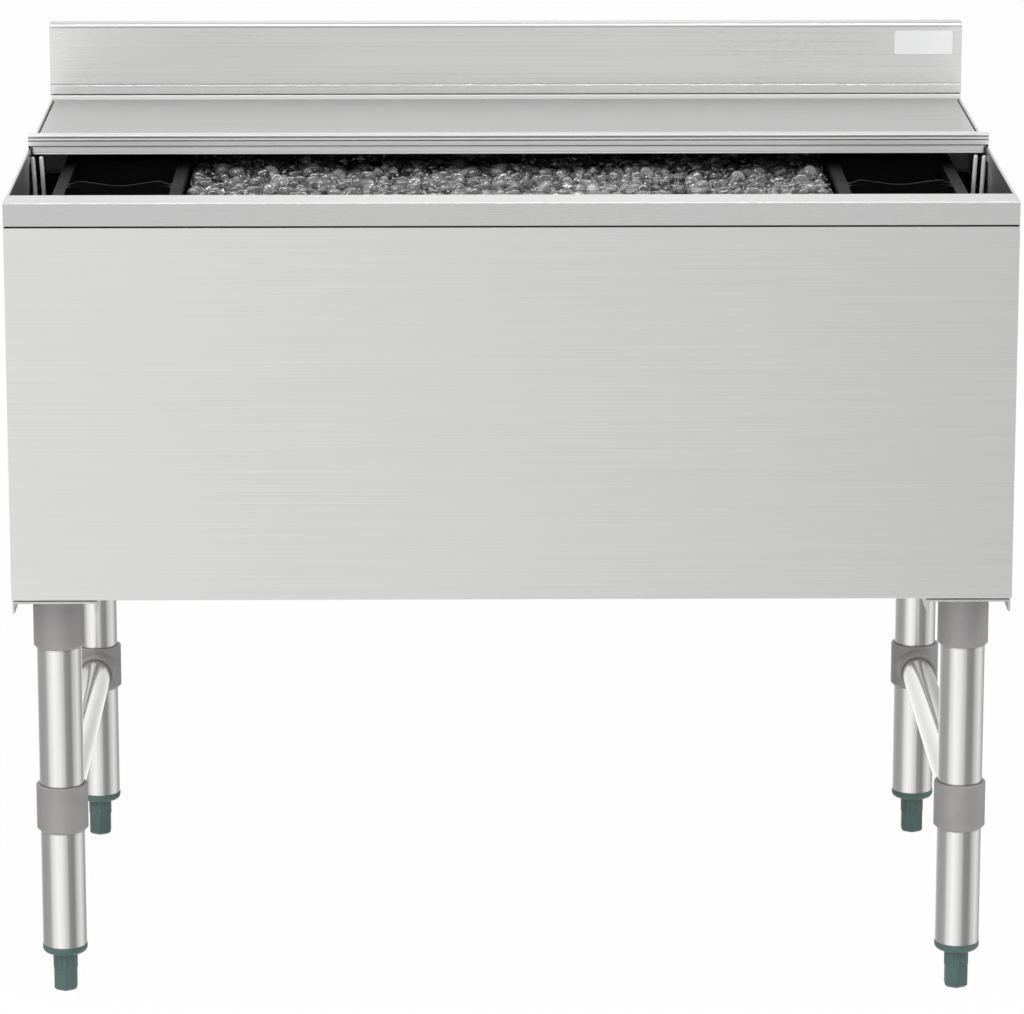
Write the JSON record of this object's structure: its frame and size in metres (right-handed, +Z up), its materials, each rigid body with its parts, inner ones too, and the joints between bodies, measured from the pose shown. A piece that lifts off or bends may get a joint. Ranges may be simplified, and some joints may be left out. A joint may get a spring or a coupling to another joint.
{
  "type": "underbar ice bin",
  "caption": "Insulated stainless underbar ice bin on H-frame legs, with a sliding lid, rear deck, backsplash and moulded bottle holders in the ice well.",
  "frame": {"origin": "on the floor, in the middle of the plan, midway between front and back", "axes": "+Z up, +X to the right seen from the front, +Y towards the backsplash"},
  "size_m": [0.9144, 0.6096, 0.8382],
  "materials": {
    "brushed_stainless": "brushed along the width",
    "liner_stainless": "satin",
    "galvanised_sheet": "plain galvanised sheet",
    "leg_tube_steel": "polished along the tube",
    "grey_casting": "grey matt casting",
    "foot_plastic": "moulded grey-green plastic",
    "black_plastic": "black moulded plastic, slightly glossy",
    "bright_wire": "bright drawn wire",
    "zinc_steel": "zinc plated",
    "black_rubber": "plain sheet rubber",
    "foam": "foamed in place"
  },
  "bodies": {
    "body": {"front_panel": "brushed_stainless", "front_rim": "brushed_stainless", "side_panel_left": "brushed_stainless", "side_panel_right": "brushed_stainless", "back_panel": "brushed_stainless", "bottom_pan": "galvanised_sheet", "liner": "liner_stainless", "insulation": "foam", "drain_body": "liner_stainless", "drain_gasket": "black_rubber", "drain_strainer": "liner_stainless", "drain_locknut": "liner_stainless", "rear_deck": "brushed_stainless", "backsplash": "brushed_stainless", "splash_strip": "brushed_stainless", "splash_end_cap_left": "brushed_stainless", "splash_end_cap_right": "brushed_stainless", "bottle_holder_left": "black_plastic", "bottle_holder_right": "black_plastic", "holder_hook_left": "bright_wire", "holder_hook_right": "bright_wire", "holder_rests": "liner_stainless", "leg_channel_left": "galvanised_sheet", "leg_channel_right": "galvanised_sheet", "crossbar_left": "leg_tube_steel", "crossbar_right": "leg_tube_steel", "socket_set_screws": "zinc_steel", "tee_set_screws": "zinc_steel", "channel_bolts": "zinc_steel", "leg_socket_front_left": "grey_casting", "leg_tube_front_left": "leg_tube_steel", "leg_tee_front_left": "grey_casting", "foot_insert_front_left": "foot_plastic", "leg_socket_front_right": "grey_casting", "leg_tube_front_right": "leg_tube_steel", "leg_tee_front_right": "grey_casting", "foot_insert_front_right": "foot_plastic", "leg_socket_back_left": "grey_casting", "leg_tube_back_left": "leg_tube_steel", "leg_tee_back_left": "grey_casting", "foot_insert_back_left": "foot_plastic", "leg_socket_back_right": "grey_casting", "leg_tube_back_right": "leg_tube_steel", "leg_tee_back_right": "grey_casting", "foot_insert_back_right": "foot_plastic"},
    "lid": {"lid_pan": "brushed_stainless", "lid_handle": "brushed_stainless", "handle_glides": "black_plastic", "lid_glides": "black_plastic"},
    "stem_front_left": {"foot_stem_front_left": "zinc_steel"},
    "foot_front_left": {"foot_front_left": "foot_plastic"},
    "stem_front_right": {"foot_stem_front_right": "zinc_steel"},
    "foot_front_right": {"foot_front_right": "foot_plastic"},
    "stem_back_left": {"foot_stem_back_left": "zinc_steel"},
    "foot_back_left": {"foot_back_left": "foot_plastic"},
    "stem_back_right": {"foot_stem_back_right": "zinc_steel"},
    "foot_back_right": {"foot_back_right": "foot_plastic"}
  },
  "joints": [
    {"name": "lid_slide", "type": "slide", "parent": "body", "child": "lid", "axis": [0, -1, 0], "range_m": [0, 0.2505]},
    {"name": "foot_travel_front_left", "type": "slide", "parent": "body", "child": "stem_front_left", "axis": [0, 0, -1], "range_m": [0, 0.024]},
    {"name": "foot_turn_front_left", "type": "hinge", "parent": "stem_front_left", "child": "foot_front_left", "pos_m": [-0.4195, -0.2388, 0.02], "axis": [0, 0, -1], "range_deg": [0, 5760]},
    {"name": "foot_travel_front_right", "type": "slide", "parent": "body", "child": "stem_front_right", "axis": [0, 0, -1], "range_m": [0, 0.024]},
    {"name": "foot_turn_front_right", "type": "hinge", "parent": "stem_front_right", "child": "foot_front_right", "pos_m": [0.4195, -0.2388, 0.02], "axis": [0, 0, -1], "range_deg": [0, 5760]},
    {"name": "foot_travel_back_left", "type": "slide", "parent": "body", "child": "stem_back_left", "axis": [0, 0, -1], "range_m": [0, 0.024]},
    {"name": "foot_turn_back_left", "type": "hinge", "parent": "stem_back_left", "child": "foot_back_left", "pos_m": [-0.4195, 0.2622, 0.02], "axis": [0, 0, -1], "range_deg": [0, 5760]},
    {"name": "foot_travel_back_right", "type": "slide", "parent": "body", "child": "stem_back_right", "axis": [0, 0, -1], "range_m": [0, 0.024]},
    {"name": "foot_turn_back_right", "type": "hinge", "parent": "stem_back_right", "child": "foot_back_right", "pos_m": [0.4195, 0.2622, 0.02], "axis": [0, 0, -1], "range_deg": [0, 5760]}
  ],
  "couplings": [
    {"joint": "foot_turn_front_left", "follows": "foot_travel_front_left", "rad_per_m": 4188.8},
    {"joint": "foot_turn_front_right", "follows": "foot_travel_front_right", "rad_per_m": 4188.8},
    {"joint": "foot_turn_back_left", "follows": "foot_travel_back_left", "rad_per_m": 4188.8},
    {"joint": "foot_turn_back_right", "follows": "foot_travel_back_right", "rad_per_m": 4188.8}
  ]
}
